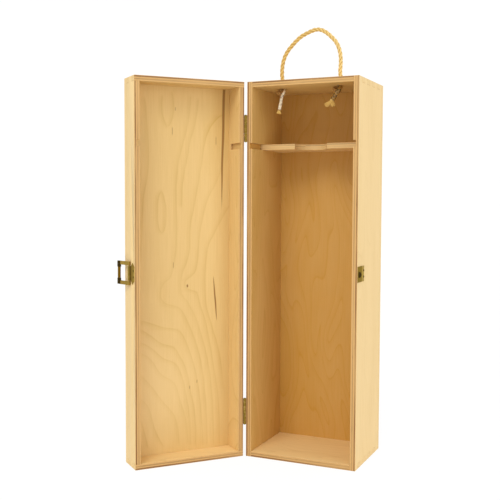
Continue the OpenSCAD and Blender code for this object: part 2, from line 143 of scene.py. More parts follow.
# What the veneer of the lid's panel shows, in m from the box's middle and above its base:
# one pin knot, brown streaks from end to end, and short flecks
PIN_KNOT = (-0.0068, 0.1906)
STREAKS = [
    (-0.0527, 0.500, -0.0481, 0.270, 0.0016),
    (-0.0378, 0.202, -0.0428, 0.148, 0.0009),
]
FLECKS = [
    (0.0107, 0.360, 0.0045), (0.0097, 0.214, 0.0035), (-0.0411, 0.351, 0.0050),
    (0.0072, 0.384, 0.0020), (-0.0095, 0.077, 0.0020), (-0.0183, 0.083, 0.0020),
]
# Painted light and shade on the lid's panel: paler low down, where more light falls, and deeper at
# its top by the hinge side, where the lid's walls shade it. The middle of each patch, its half width
# and half height in m, and how much deeper it is there
PAINTED_LIGHT_PATCHES = [
    (0.046, 0.085, 0.055, 0.13, -0.2),
    (-0.002, 0.080, 0.050, 0.07, -0.1),
    (-0.048, 0.385, 0.040, 0.12, 0.14),
]
# The growth lines of the same veneer, each from its top down. Points are in mm: the height above
# the base and the distance from the box's middle
GROWTH = [
    [(394, 42), (370, 40), (331, 38), (315, 39), (286, 44), (240, 46), (217, 48)],
    [(397, 22), (380, 22), (371, 20), (364, 17)],
    [(402, 11), (387, 9), (371, 12), (364, 17)],
    [(295, 23), (286, 27), (272, 28), (257, 27), (249, 23)],
    [(295, 23), (286, 20), (272, 18), (257, 19), (249, 23)],
    [(399, -11), (367, -7), (341, 0), (317, 5), (278, 6), (239, 6), (215, 9), (201, 13),
     (193, 22), (183, 25), (173, 20), (169, 8), (164, 0), (146, -9), (121, -19), (100, -24),
     (57, -29), (10, -31)],
    [(396, -20), (368, -16), (349, -10), (332, -7), (307, -2), (278, 0)],
    [(380, -50), (373, -40), (359, -31), (346, -27), (326, -24), (300, -19), (275, -14),
     (255, -10), (231, -9), (218, -6), (201, 0), (186, 1), (173, -7), (154, -17), (139, -22),
     (106, -31), (73, -36), (9, -39)],
    [(323, -49), (302, -40), (286, -31), (270, -26), (242, -21), (219, -19), (208, -17),
     (200, -10), (194, -4), (188, -6), (183, -18), (169, -22), (152, -28), (129, -33),
     (97, -39), (64, -44), (8, -46)],
    [(278, -57), (262, -47), (246, -38), (231, -31), (215, -29), (187, -28), (166, -30),
     (146, -36), (115, -45), (72, -51)],
    [(155, 47), (150, 33), (146, 22), (143, 7), (139, 1), (124, -7), (104, -14), (83, -19),
     (50, -23), (10, -26)],
    [(145, 47), (138, 37), (128, 23), (122, 8), (112, 2), (98, -5), (75, -10), (43, -16),
     (11, -17)],
    [(131, 47), (122, 33), (112, 22), (105, 8), (98, 3), (84, -2), (60, -7), (12, -11)],
    [(119, 47), (112, 37), (94, 24), (87, 13), (80, 7), (64, 2), (44, -4), (13, -8)],
    [(95, 47), (81, 35), (63, 22), (54, 14), (42, 7), (14, 3)],
    [(68, 47), (56, 38), (35, 32), (15, 22)],
    [(45, 47), (25, 42), (15, 40)],
]


# ---- Nodes ----

class Wire:
    """A node's output. Signs such as + and * between wires, or a wire and a number, add Math nodes
    to its tree."""

    def __init__(self, tree, socket):
        self.tree = tree
        self.socket = socket

    def __abs__(self):
        return self.tree.math("ABSOLUTE", self)

    def sine(self):
        return self.tree.math("SINE", self)

    def step(self, low, high):
        """Rises smoothly from 0 at low to 1 at high."""
        return self.tree.add("ShaderNodeMapRange", {"interpolation_type": "SMOOTHSTEP"},
                             {"Value": self, "From Min": low, "From Max": high})

    def within(self, low, high, soft):
        """1 between low and high, with soft ends."""
        return self.step(low - soft, low + soft) * (1 - self.step(high - soft, high + soft))


def sign_method(operation, swapped):
    """What a sign does with a wire on its left, or on its right when the sides are swapped."""
    if swapped:
        return lambda wire, other: wire.tree.math(operation, other, wire)
    return lambda wire, other: wire.tree.math(operation, wire, other)


SIGNS = {"add": "ADD", "sub": "SUBTRACT", "mul": "MULTIPLY", "truediv": "DIVIDE"}
for sign, operation in SIGNS.items():
    setattr(Wire, f"__{sign}__", sign_method(operation, False))
    setattr(Wire, f"__r{sign}__", sign_method(operation, True))


class Tree:
    """Makes and links the nodes of one node tree."""

    def __init__(self, tree):
        self.tree = tree

    def feed(self, socket, value):
        """Links a wire to a socket, or sets its plain value. A colour gets its fourth number."""
        if isinstance(value, Wire):
            self.tree.links.new(value.socket, socket)
        else:
            socket.default_value = (*value[:3], 1.0) if socket.type == "RGBA" else value

    def make(self, kind, settings=None, inputs=None):
        """Makes a node: its settings first, then the values and wires of its sockets."""
        node = self.tree.nodes.new(kind)
        for name, value in (settings or {}).items():
            setattr(node, name, value)
        for name, value in (inputs or {}).items():
            self.feed(node.inputs[name], value)
        return node

    def add(self, kind, settings=None, inputs=None, output=0):
        """Makes a node and returns a wire from one of its outputs."""
        return Wire(self, self.make(kind, settings, inputs).outputs[output])

    def math(self, operation, *values):
        return self.add("ShaderNodeMath", {"operation": operation}, dict(enumerate(values)))

    def largest(self, *values):
        """The largest of some values."""
        found = values[0]
        for value in values[1:]:
            found = self.math("MAXIMUM", found, value)
        return found

    def vector(self, operation, *values, output=0):
        return self.add("ShaderNodeVectorMath", {"operation": operation}, dict(enumerate(values)), output)

    def scaled(self, vector, by):
        return self.add("ShaderNodeVectorMath", {"operation": "SCALE"}, {0: vector, 3: by})

    def split(self, vector):
        """The three numbers of a vector."""
        return [Wire(self, out) for out in self.make("ShaderNodeSeparateXYZ", None, {0: vector}).outputs]

    def join(self, x, y, z):
        return self.add("ShaderNodeCombineXYZ", None, {0: x, 1: y, 2: z})

    def blend(self, share, colour_a, colour_b):
        """Colour a at share 0 and colour b at share 1."""
        return self.add("ShaderNodeMix", {"data_type": "RGBA"}, {0: share, 6: colour_a, 7: colour_b}, 2)

    def grain(self, place, scale, detail=2.0, roughness=0.5):
        """Noise, from about 0 to 1."""
        return self.add("ShaderNodeTexNoise", None, {"Vector": place, "Scale": scale, "Detail": detail,
                                                     "Roughness": roughness})

    def field(self, x, y, z, detail=2.0, roughness=0.5):
        """Noise that changes with each of three numbers."""
        return self.grain(self.join(x, y, z), 1.0, detail, roughness)

    def curve(self, points, value):
        """The height of a smooth curve through some points, at the given value."""
        node = self.make("ShaderNodeFloatCurve", None, {"Value": value})
        curve = node.mapping.curves[0]
        while len(curve.points) < len(points):
            curve.points.new(0.5, 0.5)
        for point, place in zip(curve.points, points):
            point.location = place
        node.mapping.update()
        return Wire(self, node.outputs[0])


class Finish(Tree):
    """A material's tree, with its shader and output ready."""

    def __init__(self, name):
        self.material = bpy.data.materials.new(name)
        self.material.use_nodes = True
        super().__init__(self.material.node_tree)
        self.tree.nodes.clear()
        self.shader = self.make("ShaderNodeBsdfPrincipled")
        self.output = self.make("ShaderNodeOutputMaterial", None,
                                {"Surface": Wire(self, self.shader.outputs[0])})

    def place(self):
        """Where a point lies in the object."""
        return self.add("ShaderNodeTexCoord", output=3)

    def attribute(self, name, output=2):
        """A number that the mesh carries, or its vector at output 1."""
        return self.add("ShaderNodeAttribute", {"attribute_name": name}, output=output)

    def set(self, **values):
        """Sets or links the shader's sockets. Underscores stand for spaces."""
        for name, value in values.items():
            self.feed(self.shader.inputs[name.replace("_", " ")], value)

    def raise_by(self, height, distance, strength=1.0):
        """Bumps the surface by a height from 0 to 1 that is worth the given distance."""
        self.set(Normal=self.add("ShaderNodeBump", None, {"Strength": strength, "Distance": distance,
                                                          "Height": height}))


# ---- Finishes ----

def veneer_marks(finish, across, along, soft):
    """The pin knot, streaks and flecks of the lid's panel, as masks from 0 to 1."""
    knot = finish.math("SQRT", finish.math("POWER", (across - PIN_KNOT[0]) / 0.0011, 2.0)
                       + finish.math("POWER", (along - PIN_KNOT[1]) / 0.0019, 2.0))
    marks = 1 - knot.step(0.5, 1.2)
    for x0, z0, x1, z1, half in STREAKS:
        lean = (x1 - x0) / (z1 - z0)
        line = across - ((along - z0) * lean + x0) + soft * 0.003 - 0.0015
        middle, reach = (z0 + z1) / 2, abs(z1 - z0) / 2
        taper = 1 - finish.math("POWER", abs(along - middle) / reach, 2.0)
        width = finish.math("MAXIMUM", taper, 0.01) * half
        marks = marks + (1 - (abs(line) / width).step(0.5, 1.4)) * taper.step(0.0, 0.3) * 0.95
    for x, z, half in FLECKS:
        marks = marks + ((1 - abs(across - x).step(0.0002, 0.0009))
                         * (1 - abs(along - z).step(0.5 * half, half * 1.2))) * 0.5
    return marks


def growth_lines(finish, across, along):
    """The growth lines of the lid's panel: each is sharp on one side and fades on the other."""
    wide, tall, rise = CLOSED_BOX[0][1] * 2, CLOSED_BOX[2][1], 0.004
    wobble = finish.field(across * 60, along * 45, 0.7)
    across = across + (wobble - 0.5) * (1.6 * MM)
    height = along / tall
    lines = []
    for points in GROWTH:
        places = [(z * MM / tall, x * MM / wide + 0.5) for z, x in reversed(points)]
        here, above = finish.curve(places, height), finish.curve(places, height + rise)
        lean = (above - here) * (wide / (rise * tall))
        off = (across - (here - 0.5) * wide) / finish.math("SQRT", lean * lean + 1)
        core = 1 - abs(off).step(0.1 * MM, 1.3 * MM)
        fade = off.step(-0.8 * MM, 0.5 * MM) * (1 - off.step(0.5 * MM, 6 * MM))
        length = along.within(points[-1][0] * MM, points[0][0] * MM, 3 * MM)
        lines.append((core * 0.45 + fade * 0.5) * length)
    return finish.largest(*lines)


def veneer(finish, wood, across, along, through, shade, marked):
    """The face of a rotary-cut veneer: broad soft figure, fine fibre and pores along the grain.
    Returns its colour, its fibre and its pores."""
    sway = finish.field(across * 9, along * 5, through, 1.0)
    if marked:
        strength = finish.field(across * 24, along * 15, 2.5)
        contours = growth_lines(finish, across, along) * (strength.step(0.3, 0.7) * 0.9 + 0.6)
        figure = 0.55
        # Painted light and shade: the panel is paler low down and deeper at its top
        for x, z, half_width, half_height, amount in PAINTED_LIGHT_PATCHES:
            away = finish.vector("LENGTH", finish.join((across - x) / half_width,
                                                       (along - z) / half_height, 0.0), output=1)
            shade = shade + (1 - away.step(0.0, 1.0)) * amount
    else:
        rings = finish.field(across * 21 + sway * 2.4, along * 3.6, shade * 5, 1.5)
        ring = finish.math("FRACT", rings * 18)
        contours = ((ring.step(0.3, 0.95) * 0.35 + ring.step(0.86, 0.95) * 0.65)
                    * (1 - ring.step(0.96, 1.0)) * (1 - through * 0.6))
        figure = 1.0
    broad = finish.field(across * 34 + sway * 3, along * 4.0, shade * 9 + 3, 3.0)
    cloud = finish.field(across * 12, along * 7, shade * 7 + 11)
    fibre = finish.field(across * 800, along * 24, through * 3, 3.0, 0.6)
    pores = finish.field(across * 2400, along * 170, through * 5, 1.0)
    flecks = pores.step(0.66, 0.76)
    tone = (shade + contours * 0.14 + (broad - 0.5) * (0.26 * figure)
            + (cloud - 0.5) * (0.18 * figure) + (fibre - 0.5) * 0.22)
    tone = finish.math("MINIMUM", finish.math("MAXIMUM", tone, 0.0), 1.0)
    colour = finish.blend(tone, wood.pale, wood.deep)
    # Painted shade: faces with a deep shade number, inside the body and lid and in grooves, turn towards
    # a redder colour
    colour = finish.blend(shade.step(0.4, 0.9), colour, wood.painted_shade_veneer)
    return finish.blend(flecks * 0.12, colour, wood.pore), fibre, flecks


def ply_edges(finish, wood, across, along, through, ends, shade):
    """The sawn edge of a board: five plies and their glue lines, with small gaps. The two plies
    that cross the edge are darker, most of all the outer one, and on end grain it is the other
    three. Returns its colour and how dark each line is."""
    outer_ply, inner_ply = through.within(0.68, 0.92, 0.03), through.within(0.26, 0.45, 0.03)
    patch = finish.field(across * 11, along * 13, through * 4)
    crossing = (abs(outer_ply + inner_ply - ends) * (through.step(0.45, 0.68) * 0.45 + 0.55)
                * (patch.step(0.38, 0.62) * 0.7 + 0.4))
    glue = sum(1 - abs(through - line).step(0.01, 0.035) for line in (0.26, 0.45, 0.68, 0.92))
    streak = finish.field(across * 120, along * 120, through * 14, 3.0, 0.6)
    gap = finish.field(across * 80, along * 80, through * 5 + 7, 1.0).step(0.68, 0.74)
    # The shade number deepens the ply edges too, which on the hinge sides' rims is partly painted shade
    colour = finish.blend(crossing * 0.9 + shade + (streak - 0.5) * 0.4, wood.ply_light, wood.ply_dark)
    colour = finish.blend(glue * 0.2, colour, wood.glue)
    return finish.blend(gap * crossing * 0.7, colour, wood.glue), glue * 0.6 + crossing * 0.3


def plywood(wood, marked=False):
    """Bare sanded plywood. It reads where a point lies on its board: across the grain, along it
    and through the plies, with each face's share of ply edge and of end grain."""
    finish = Finish("plywood_lid_panel" if marked else "plywood")
    across, along, through = finish.split(finish.attribute("board", 1))
    edge = finish.attribute("ply_edge")
    ends = finish.attribute("end_grain")
    shade = finish.attribute("shade")

    face, fibre, flecks = veneer(finish, wood, across, along, through, shade, marked)
    plies, lines = ply_edges(finish, wood, across, along, through, ends, shade)
    colour = finish.blend(edge, face, plies)
    if marked:
        soft = finish.field(across * 16, along * 14, 0.3)
        marks = veneer_marks(finish, across, along, soft) * (1 - edge) * (1 - through)
        colour = finish.blend(marks, colour, wood.mark)

    rough = 0.56 + (fibre - 0.5) * 0.16 + edge * 0.14
    finish.set(Base_Color=colour, Roughness=rough, Specular_IOR_Level=0.3)
    height = (fibre * 0.5 + (1 - flecks) * 0.5) * (1 - edge) + (1 - lines) * edge
    finish.raise_by(height, 0.00008, 0.5)
    return finish.material


def from_pivot(finish, place):
    """How far a point lies from the axis that the latch's loop turns on, and how high."""
    x, y, z = finish.split(finish.vector("SUBTRACT", place, JOINTS["latch_pivot"]["pos_m"]))
    return finish.math("SQRT", x * x + y * y), z


def loop_wear(finish, place, worn):
    """The latch's loop is rubbed on its arms, brown on its bar and dark on its lobes. Returns
    how rubbed and how dark it is."""
    away, height = from_pivot(finish, place)
    bar = away.step(15.2 * MM, 16.0 * MM)
    return (worn * 0.4 + 0.5) * (1 - bar), bar * abs(height).step(5.2 * MM, 6.4 * MM)


def strike_tones(finish, place, worn):
    """The strike is darker on its hook and lighter at its far end."""
    low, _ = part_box("strike_plate")
    x, y, _ = finish.split(place)
    rear = y.step(low[1] + 13 * MM, low[1] + 14 * MM)
    return worn * 0.2 + rear * 0.8, x.step(low[0] + 1.0 * MM, low[0] + 1.4 * MM)


def base_wear(finish, place, worn):
    """The latch's base is rubbed, least of all on its knuckle."""
    away, _ = from_pivot(finish, place)
    return worn * 0.3 + away.step(1.6 * MM, 2.6 * MM) * 0.2 + 0.2, 0.0


WEAR = {"latch_loop": loop_wear, "strike_plate": strike_tones, "latch_base": base_wear}


def antique_brass(metal, name, main, rubbing, wear=None):
    """Brass darkened all over and rubbed lighter in patches, over the given share of it. A
    function may say where on the piece it is more rubbed or darker."""
    finish = Finish(name)
    place = finish.place()
    patches = finish.grain(place, 260.0, 4.0, 0.6)
    speck = finish.grain(place, 1500.0, 2.0, 0.6)
    worn, aged = patches.step(0.66 - rubbing * 0.5, 0.9 - rubbing * 0.5), 0.0
    if wear:
        worn, aged = wear(finish, place, worn)
    dark = speck.step(0.60, 0.72)
    colour = finish.blend(worn, main, metal.rubbed)
    colour = finish.blend(dark * 0.3, colour, metal.tarnish)
    if isinstance(aged, Wire):
        colour = finish.blend(aged, colour, metal.tarnish)
    finish.set(Base_Color=colour, Metallic=0.85, Roughness=0.5 - worn * 0.12 + dark * 0.15,
               Specular_Tint=metal.sheen, Specular_IOR_Level=0.3)
    finish.raise_by(speck * 0.6 + patches * 0.4, 0.00006, 0.5)
    return finish.material


def nail_brass(metal):
    """The darker metal of the round-headed nails."""
    finish = Finish("nail_brass")
    place = finish.place()
    patches = finish.grain(place, 900.0, 3.0, 0.6)
    colour = finish.blend(patches.step(0.45, 0.7), metal.tarnish, metal.patina)
    finish.set(Base_Color=colour, Metallic=0.85, Roughness=0.42 + patches * 0.2)
    finish.raise_by(patches, 0.00004, 0.4)
    return finish.material


def laid_fibre(rope):
    """Plant fibre, twisted into yarns that slant across each strand. The furrows between the strands
    are darker with painted shade, and so are the knots and taped tails where the rope is pulled thin,
    and the rope is paler on its right with painted light."""
    finish = Finish("laid_fibre")
    round_x, round_y, _ = finish.split(finish.attribute("ring", 1))
    along = finish.attribute("along")
    outward = finish.attribute("outward")
    thick = finish.attribute("thick")
    turn = finish.math("ARCTAN2", round_y, round_x)
    place = finish.place()
    yarns = (turn * 5 - along * 2600).sine()
    hairs = (turn * 17 - along * 5200 + finish.grain(place, 500.0) * 6).sine()
    patches = finish.grain(place, 120.0, 3.0, 0.6)
    speck = finish.grain(place, 1300.0, 2.0, 0.7)
    tone = (yarns * 0.06 + hairs * 0.05 + (patches - 0.5) * 0.5 + (speck - 0.5) * 0.5 + 0.72)
    # Painted shade: the fibre grows darker towards the furrows between the strands
    tone = tone * (outward.step(0.55, 0.93) * 0.75 + 0.25)
    # Painted light: the rope is paler on its right, where light falls on it
    bright = finish.blend(finish.split(place)[0].step(-0.02, 0.045), rope.bright, rope.painted_light_fibre)
    colour = finish.blend(tone.step(0.05, 0.88), rope.shaded, bright)
    # Painted shade: where the rope is pulled thin, in its knots and taped tails, it takes a darker colour
    colour = finish.blend(1 - thick.step(0.78, 0.98), colour, rope.knot_painted_shade)
    finish.set(Base_Color=colour, Roughness=0.62 + (speck - 0.5) * 0.3, Specular_IOR_Level=0.4)
    finish.raise_by(yarns * 0.3 + hairs * 0.2 + speck * 0.5, 0.00018, 0.7)
    return finish.material


def loose_fibre(rope):
    """The same fibre in single hairs, with patches of painted shade."""
    finish = Finish("loose_fibre")
    place = finish.place()
    patches = finish.grain(place, 700.0, 2.0, 0.6)
    # Painted shade: patches of the hairs take the shaded fibre colour
    colour = finish.blend(patches.step(0.15, 0.5), rope.shaded, rope.frayed)
    finish.set(Base_Color=colour, Roughness=0.6 + patches * 0.1)
    return finish.material


def clear_tape(name, colour, painted_reflection_specks, cover, specks):
    """Thin clear tape, creased where it is wound on. Its colour and its dark specks are painted
    reflections. Cover is how much it hides and specks how dark the painted specks are, both from 0 to 1."""
    finish = Finish(name)
    place = finish.place()
    crease = finish.grain(place, 420.0, 3.0, 0.6)
    milk = crease.step(0.40, 0.58)
    # Painted dark reflections: dark specks in the tape
    spots = finish.grain(place, 800.0, 1.0).step(0.48, 0.60)
    finish.set(Base_Color=finish.blend(spots * specks, colour, painted_reflection_specks), Roughness=0.14 + crease * 0.2,
               Alpha=(milk * 0.5 + 0.5) * cover, Coat_Weight=0.6 * (1 - specks), Coat_Roughness=0.08)
    finish.raise_by(crease, 0.0004, 0.6)
    return finish.material


# ---- Meshes ----

def added(name, data):
    """A new object in the scene."""
    item = bpy.data.objects.new(name, data)
    bpy.context.scene.collection.objects.link(item)
    return item


def as_object(name, mesh, material, body, stands_for=()):
    """Puts a finished mesh in the scene, with its finish, its body and what it stands for."""
    piece = added(name, mesh)
    mesh.materials.clear()
    mesh.materials.append(material)
    if body:
        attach(piece, body)
    if stands_for:
        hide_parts(*stands_for)
    return piece


def as_mesh(work, name):
    """A new mesh of what a bmesh holds. The bmesh itself is freed."""
    mesh = bpy.data.meshes.new(name)
    work.to_mesh(mesh)
    work.free()
    return mesh


def write_attribute(mesh, name, domain, values):
    """Gives each point or face of a mesh its own number or vector."""
    if isinstance(values[0], Vector):
        data = mesh.attributes.new(name, "FLOAT_VECTOR", domain).data
        data.foreach_set("vector", [number for vector in values for number in vector])
    else:
        mesh.attributes.new(name, "FLOAT", domain).data.foreach_set("value", values)


def settled(piece):
    """An object with its modifiers, as a plain mesh. The object itself is removed."""
    bpy.context.view_layer.update()
    depsgraph = bpy.context.evaluated_depsgraph_get()
    mesh = bpy.data.meshes.new_from_object(piece.evaluated_get(depsgraph), depsgraph=depsgraph)
    bpy.data.objects.remove(piece)
    return mesh


def eased_copy(node, easing, shortest):
    """A copy of a CAD node with its triangles joined and its sharp outer edges eased. Edges
    shorter than the given length, such as those round a nail hole, stay sharp."""
    mesh = frame["nodes"][node].data.copy()
    work = bmesh.new()
    work.from_mesh(mesh)
    bmesh.ops.remove_doubles(work, verts=work.verts, dist=WELD)
    bmesh.ops.dissolve_limit(work, angle_limit=math.radians(0.5), verts=work.verts, edges=work.edges)
    weight = work.edges.layers.float.new("bevel_weight_edge")
    for edge in work.edges:
        if len(edge.link_faces) == 2 and edge.is_convex and edge.calc_length() > shortest:
            if edge.calc_face_angle() > math.radians(35):
                edge[weight] = 1.0
    work.to_mesh(mesh)
    work.free()
    piece = added(node + "_copy", mesh)
    bevel = piece.modifiers.new("easing", "BEVEL")
    bevel.limit_method = "WEIGHT"
    bevel.width = easing
    bevel.segments = 2
    bevel.use_clamp_overlap = False
    return settled(piece)


def smooth_but_sharp(mesh):
    """Smooth shading, kept sharp over edges that turn by a sharp angle."""
    work = bmesh.new()
    work.from_mesh(mesh)
    for face in work.faces:
        face.smooth = True
    for edge in work.edges:
        edge.smooth = len(edge.link_faces) == 2 and edge.calc_face_angle() < SHARP_TURN
    work.to_mesh(mesh)
    work.free()


def to_closed_lid():
    """Turns a point of the open lid to where it lies on the closed box."""
    joint = JOINTS["lid_hinge"]
    pivot = Matrix.Translation(Vector(joint["pos_m"]))
    turn = Matrix.Rotation(math.radians(joint["range_deg"][1]), 4, Vector(joint["axis"]))
    return pivot @ turn @ pivot.inverted()


def mark_board(mesh, node, seed):
    """Writes where each point lies on its board, from the inner to the outer face, what each face
    shows of its plies, and how deep its colour is, with painted shade on inner faces and groove floors."""
    body, thickness, grain, outer_shade, inner_shade, sawn, sanded = BOARDS[node]
    closed = to_closed_lid() if body == "lid" else Matrix.Identity(4)
    crosswise = 3 - thickness - grain
    places = [closed @ vertex.co for vertex in mesh.vertices]
    low = min(place[thickness] for place in places)
    high = max(place[thickness] for place in places)
    inner, outer = (low, high) if low + high > sum(CLOSED_BOX[thickness]) else (high, low)
    write_attribute(mesh, "board", "POINT", [
        Vector((place[crosswise] + seed, place[grain], (place[thickness] - inner) / (outer - inner)))
        for place in places])
    turn = closed.to_3x3()
    edges, ends, shades = [], [], []
    for face in mesh.polygons:
        normal = turn @ face.normal
        centre = closed @ face.center
        axis = max(range(3), key=lambda k: abs(normal[k]))
        outside = min(abs(centre[axis] - side) for side in CLOSED_BOX[axis]) < OUTSIDE
        is_edge = abs(normal[thickness]) < FACING
        depth = (centre[thickness] - inner) / (outer - inner)
        in_groove = not is_edge and GROOVE_BOTTOM[0] < depth < GROOVE_BOTTOM[1]
        edges.append(is_edge * (sanded if outside else sawn))
        ends.append(float(abs(normal[grain]) > FACING))
        # Inner faces take the board's inner number, which is painted shade, and groove floors more
        # painted shade
        shades.append(in_groove * GROOVE_SHADE + (outer_shade if outside or is_edge else inner_shade))
    for name, values in (("ply_edge", edges), ("end_grain", ends), ("shade", shades)):
        write_attribute(mesh, name, "FACE", values)


def tube(rings):
    """A closed smooth mesh from rings of points, each joined to the next and the last to the first."""
    work = bmesh.new()
    loops = [[work.verts.new(point) for point in ring] for ring in rings]
    count = len(loops[0])
    for low, high in zip(loops, loops[1:] + loops[:1]):
        for k in range(count):
            work.faces.new((low[k], low[(k + 1) % count], high[(k + 1) % count], high[k]))
    bmesh.ops.recalc_face_normals(work, faces=work.faces)
    mesh = as_mesh(work, "tube")
    mesh.shade_smooth()
    return mesh


def islands(node):
    """The points of each separate solid of a CAD node."""
    work = bmesh.new()
    work.from_mesh(frame["nodes"][node].data)
    bmesh.ops.remove_doubles(work, verts=work.verts, dist=WELD)
    left = set(work.verts)
    found = []
    while left:
        group = [left.pop()]
        for vertex in group:
            joined = {edge.other_vert(vertex) for edge in vertex.link_edges} & left
            left -= joined
            group.extend(joined)
        found.append([vertex.co.copy() for vertex in group])
    work.free()
    return found


# ---- Geometry node trees ----

class Growth(Tree):
    """A Geometry Nodes tree with a mesh, named sizes and a material as its inputs."""

    def __init__(self, name, sizes):
        super().__init__(bpy.data.node_groups.new(name, "GeometryNodeTree"))
        sockets = self.tree.interface
        sockets.new_socket("Geometry", in_out="INPUT", socket_type="NodeSocketGeometry")
        for label, default in sizes.items():
            kind = "NodeSocketInt" if isinstance(default, int) else "NodeSocketFloat"
            sockets.new_socket(label, in_out="INPUT", socket_type=kind).default_value = default
        sockets.new_socket("Material", in_out="INPUT", socket_type="NodeSocketMaterial")
        sockets.new_socket("Geometry", in_out="OUTPUT", socket_type="NodeSocketGeometry")
        start = self.make("NodeGroupInput")
        self.given = {out.name: Wire(self, out) for out in start.outputs if out.name}

    def geo(self, kind, settings=None, output=0, **inputs):
        """Adds a geometry node. Underscores in its inputs' names stand for spaces."""
        inputs = {name.replace("_", " "): value for name, value in inputs.items()}
        return self.add("GeometryNode" + kind, settings, inputs, output)

    def store(self, geometry, name, value, kind="FLOAT"):
        """Writes a number or a vector on each point."""
        return self.geo("StoreNamedAttribute", {"data_type": kind, "domain": "POINT"},
                        Geometry=geometry, Name=name, Value=value)

    def stored(self, name, kind="FLOAT"):
        return self.geo("InputNamedAttribute", {"data_type": kind}, Name=name)

    def circle(self, sides, radius):
        return self.geo("CurvePrimitiveCircle", {"mode": "RADIUS"}, Resolution=sides, Radius=radius)

    def facing(self, vector):
        """The turn that points z along a vector."""
        return self.add("FunctionNodeAlignRotationToVector", {"axis": "Z"}, {"Vector": vector})

    def end(self, geometry):
        """Ends the tree in Realize Instances and Set Material, and returns it."""
        real = self.geo("RealizeInstances", Geometry=geometry)
        painted = self.geo("SetMaterial", Geometry=real, Material=self.given["Material"])
        self.make("NodeGroupOutput", None, {0: painted})
        return self.tree


def grow(piece, tree, values):
    """Runs a tree on an object and returns what it makes, as a plain mesh."""
    modifier = piece.modifiers.new(tree.name, "NODES")
    modifier.node_group = tree
    for item in tree.interface.items_tree:
        if item.item_type == "SOCKET" and item.in_out == "INPUT" and item.name in values:
            modifier[item.identifier] = values[item.name]
    return settled(piece)


def nail_tree():
    """Sets a domed head on each point, facing the way that the point's attribute says."""
    growth = Growth("nail_heads", {"Head radius": 1.2 * MM, "Head height": 0.5 * MM})
    given = growth.given
    dome = growth.geo("MeshUVSphere", Segments=20, Rings=12, Radius=1.0)
    size = growth.join(given["Head radius"], given["Head radius"], given["Head height"])
    dome = growth.geo("Transform", Geometry=dome, Scale=size)
    dome = growth.geo("SetShadeSmooth", Geometry=dome)
    turn = growth.facing(growth.stored("facing", "FLOAT_VECTOR"))
    points = growth.geo("MeshToPoints", Mesh=given["Geometry"], Radius=0.1 * MM)
    return growth.end(growth.geo("InstanceOnPoints", Points=points, Instance=dome, Rotation=turn))


def rope_tree():
    """Lays three strands round a curve, right-handed, as thick as each point of it says."""
    growth = Growth("laid_rope", {"Strand radius": 1.25 * MM, "Strand offset": 1.2 * MM,
                                  "Lay length": 15 * MM, "Step": 0.7 * MM})
    given = growth.given
    curve = growth.geo("MeshToCurve", Mesh=given["Geometry"])
    curve = growth.geo("ResampleCurve", {"mode": "LENGTH"}, Curve=curve, Length=given["Step"])
    curve = growth.geo("SetCurveNormal", {"mode": "MINIMUM_TWIST"}, Curve=curve)
    length = growth.geo("SplineParameter", output=1)
    curve = growth.store(curve, "along", length)
    thick = growth.stored("thick")
    place = growth.geo("InputPosition")
    curve = growth.store(curve, "middle", place, "FLOAT_VECTOR")
    middle = growth.stored("middle", "FLOAT_VECTOR")
    whole = (given["Strand radius"] + given["Strand offset"]) * thick
    outward = growth.vector("DISTANCE", place, middle, output=1) / whole
    normal = growth.geo("InputNormal")
    side = growth.vector("CROSS_PRODUCT", growth.geo("InputTangent"), normal)
    ring = growth.store(growth.circle(10, given["Strand radius"]), "ring", place, "FLOAT_VECTOR")
    strands = growth.make("GeometryNodeJoinGeometry")
    for k in range(3):
        turn = (length / given["Lay length"]) * (2 * math.pi) + k * 2 * math.pi / 3
        out = growth.vector("ADD", growth.scaled(normal, growth.math("COSINE", turn)),
                            growth.scaled(side, turn.sine()))
        offset = growth.scaled(out, given["Strand offset"] * thick)
        strand = growth.geo("SetPosition", Geometry=curve, Offset=offset)
        strand = growth.geo("CurveToMesh", Curve=strand, Profile_Curve=ring, Scale=thick, Fill_Caps=True)
        growth.feed(strands.inputs[0], growth.store(strand, "outward", outward))
    return growth.end(growth.geo("SetShadeSmooth", Geometry=Wire(growth, strands.outputs[0])))


def hair_tree():
    """Scatters short bent hairs over a mesh."""
    growth = Growth("loose_hairs", {"Density": 100000.0, "Hair length": 1.6 * MM,
                                    "Hair radius": 0.045 * MM, "Seed": 4})
    given = growth.given
    scatter = growth.make("GeometryNodeDistributePointsOnFaces", {"distribute_method": "RANDOM"},
                          {"Mesh": given["Geometry"], "Density": given["Density"], "Seed": given["Seed"]})
    points, normal = [Wire(growth, out) for out in scatter.outputs[:2]]
    line = growth.geo("CurveQuadraticBezier", Resolution=4, Start=(0, 0, 0), Middle=(0.1, 0, 0.5),
                      End=(0.55, 0.1, 0.75))
    line = growth.geo("Transform", Geometry=line, Scale=growth.join(*[given["Hair length"]] * 3))
    profile = growth.circle(3, given["Hair radius"])
    hair = growth.geo("CurveToMesh", Curve=line, Profile_Curve=profile, Fill_Caps=True)
    spread = growth.add("FunctionNodeRandomValue", {"data_type": "FLOAT_VECTOR"},
                        {0: (-0.9, -0.9, -0.9), 1: (0.9, 0.9, 0.9), "Seed": 11})
    turn = growth.facing(growth.vector("ADD", normal, spread))
    size = growth.add("FunctionNodeRandomValue", {"data_type": "FLOAT"}, {2: 0.35, 3: 1.0, "Seed": 5}, 1)
    return growth.end(growth.geo("InstanceOnPoints", Points=points, Instance=hair, Rotation=turn,
                                 Scale=size))


# ---- Rope ----

def around(side, up, angle):
    """The way that one reaches by turning from the first way towards the second."""
    return side * math.cos(angle) + up * math.sin(angle)


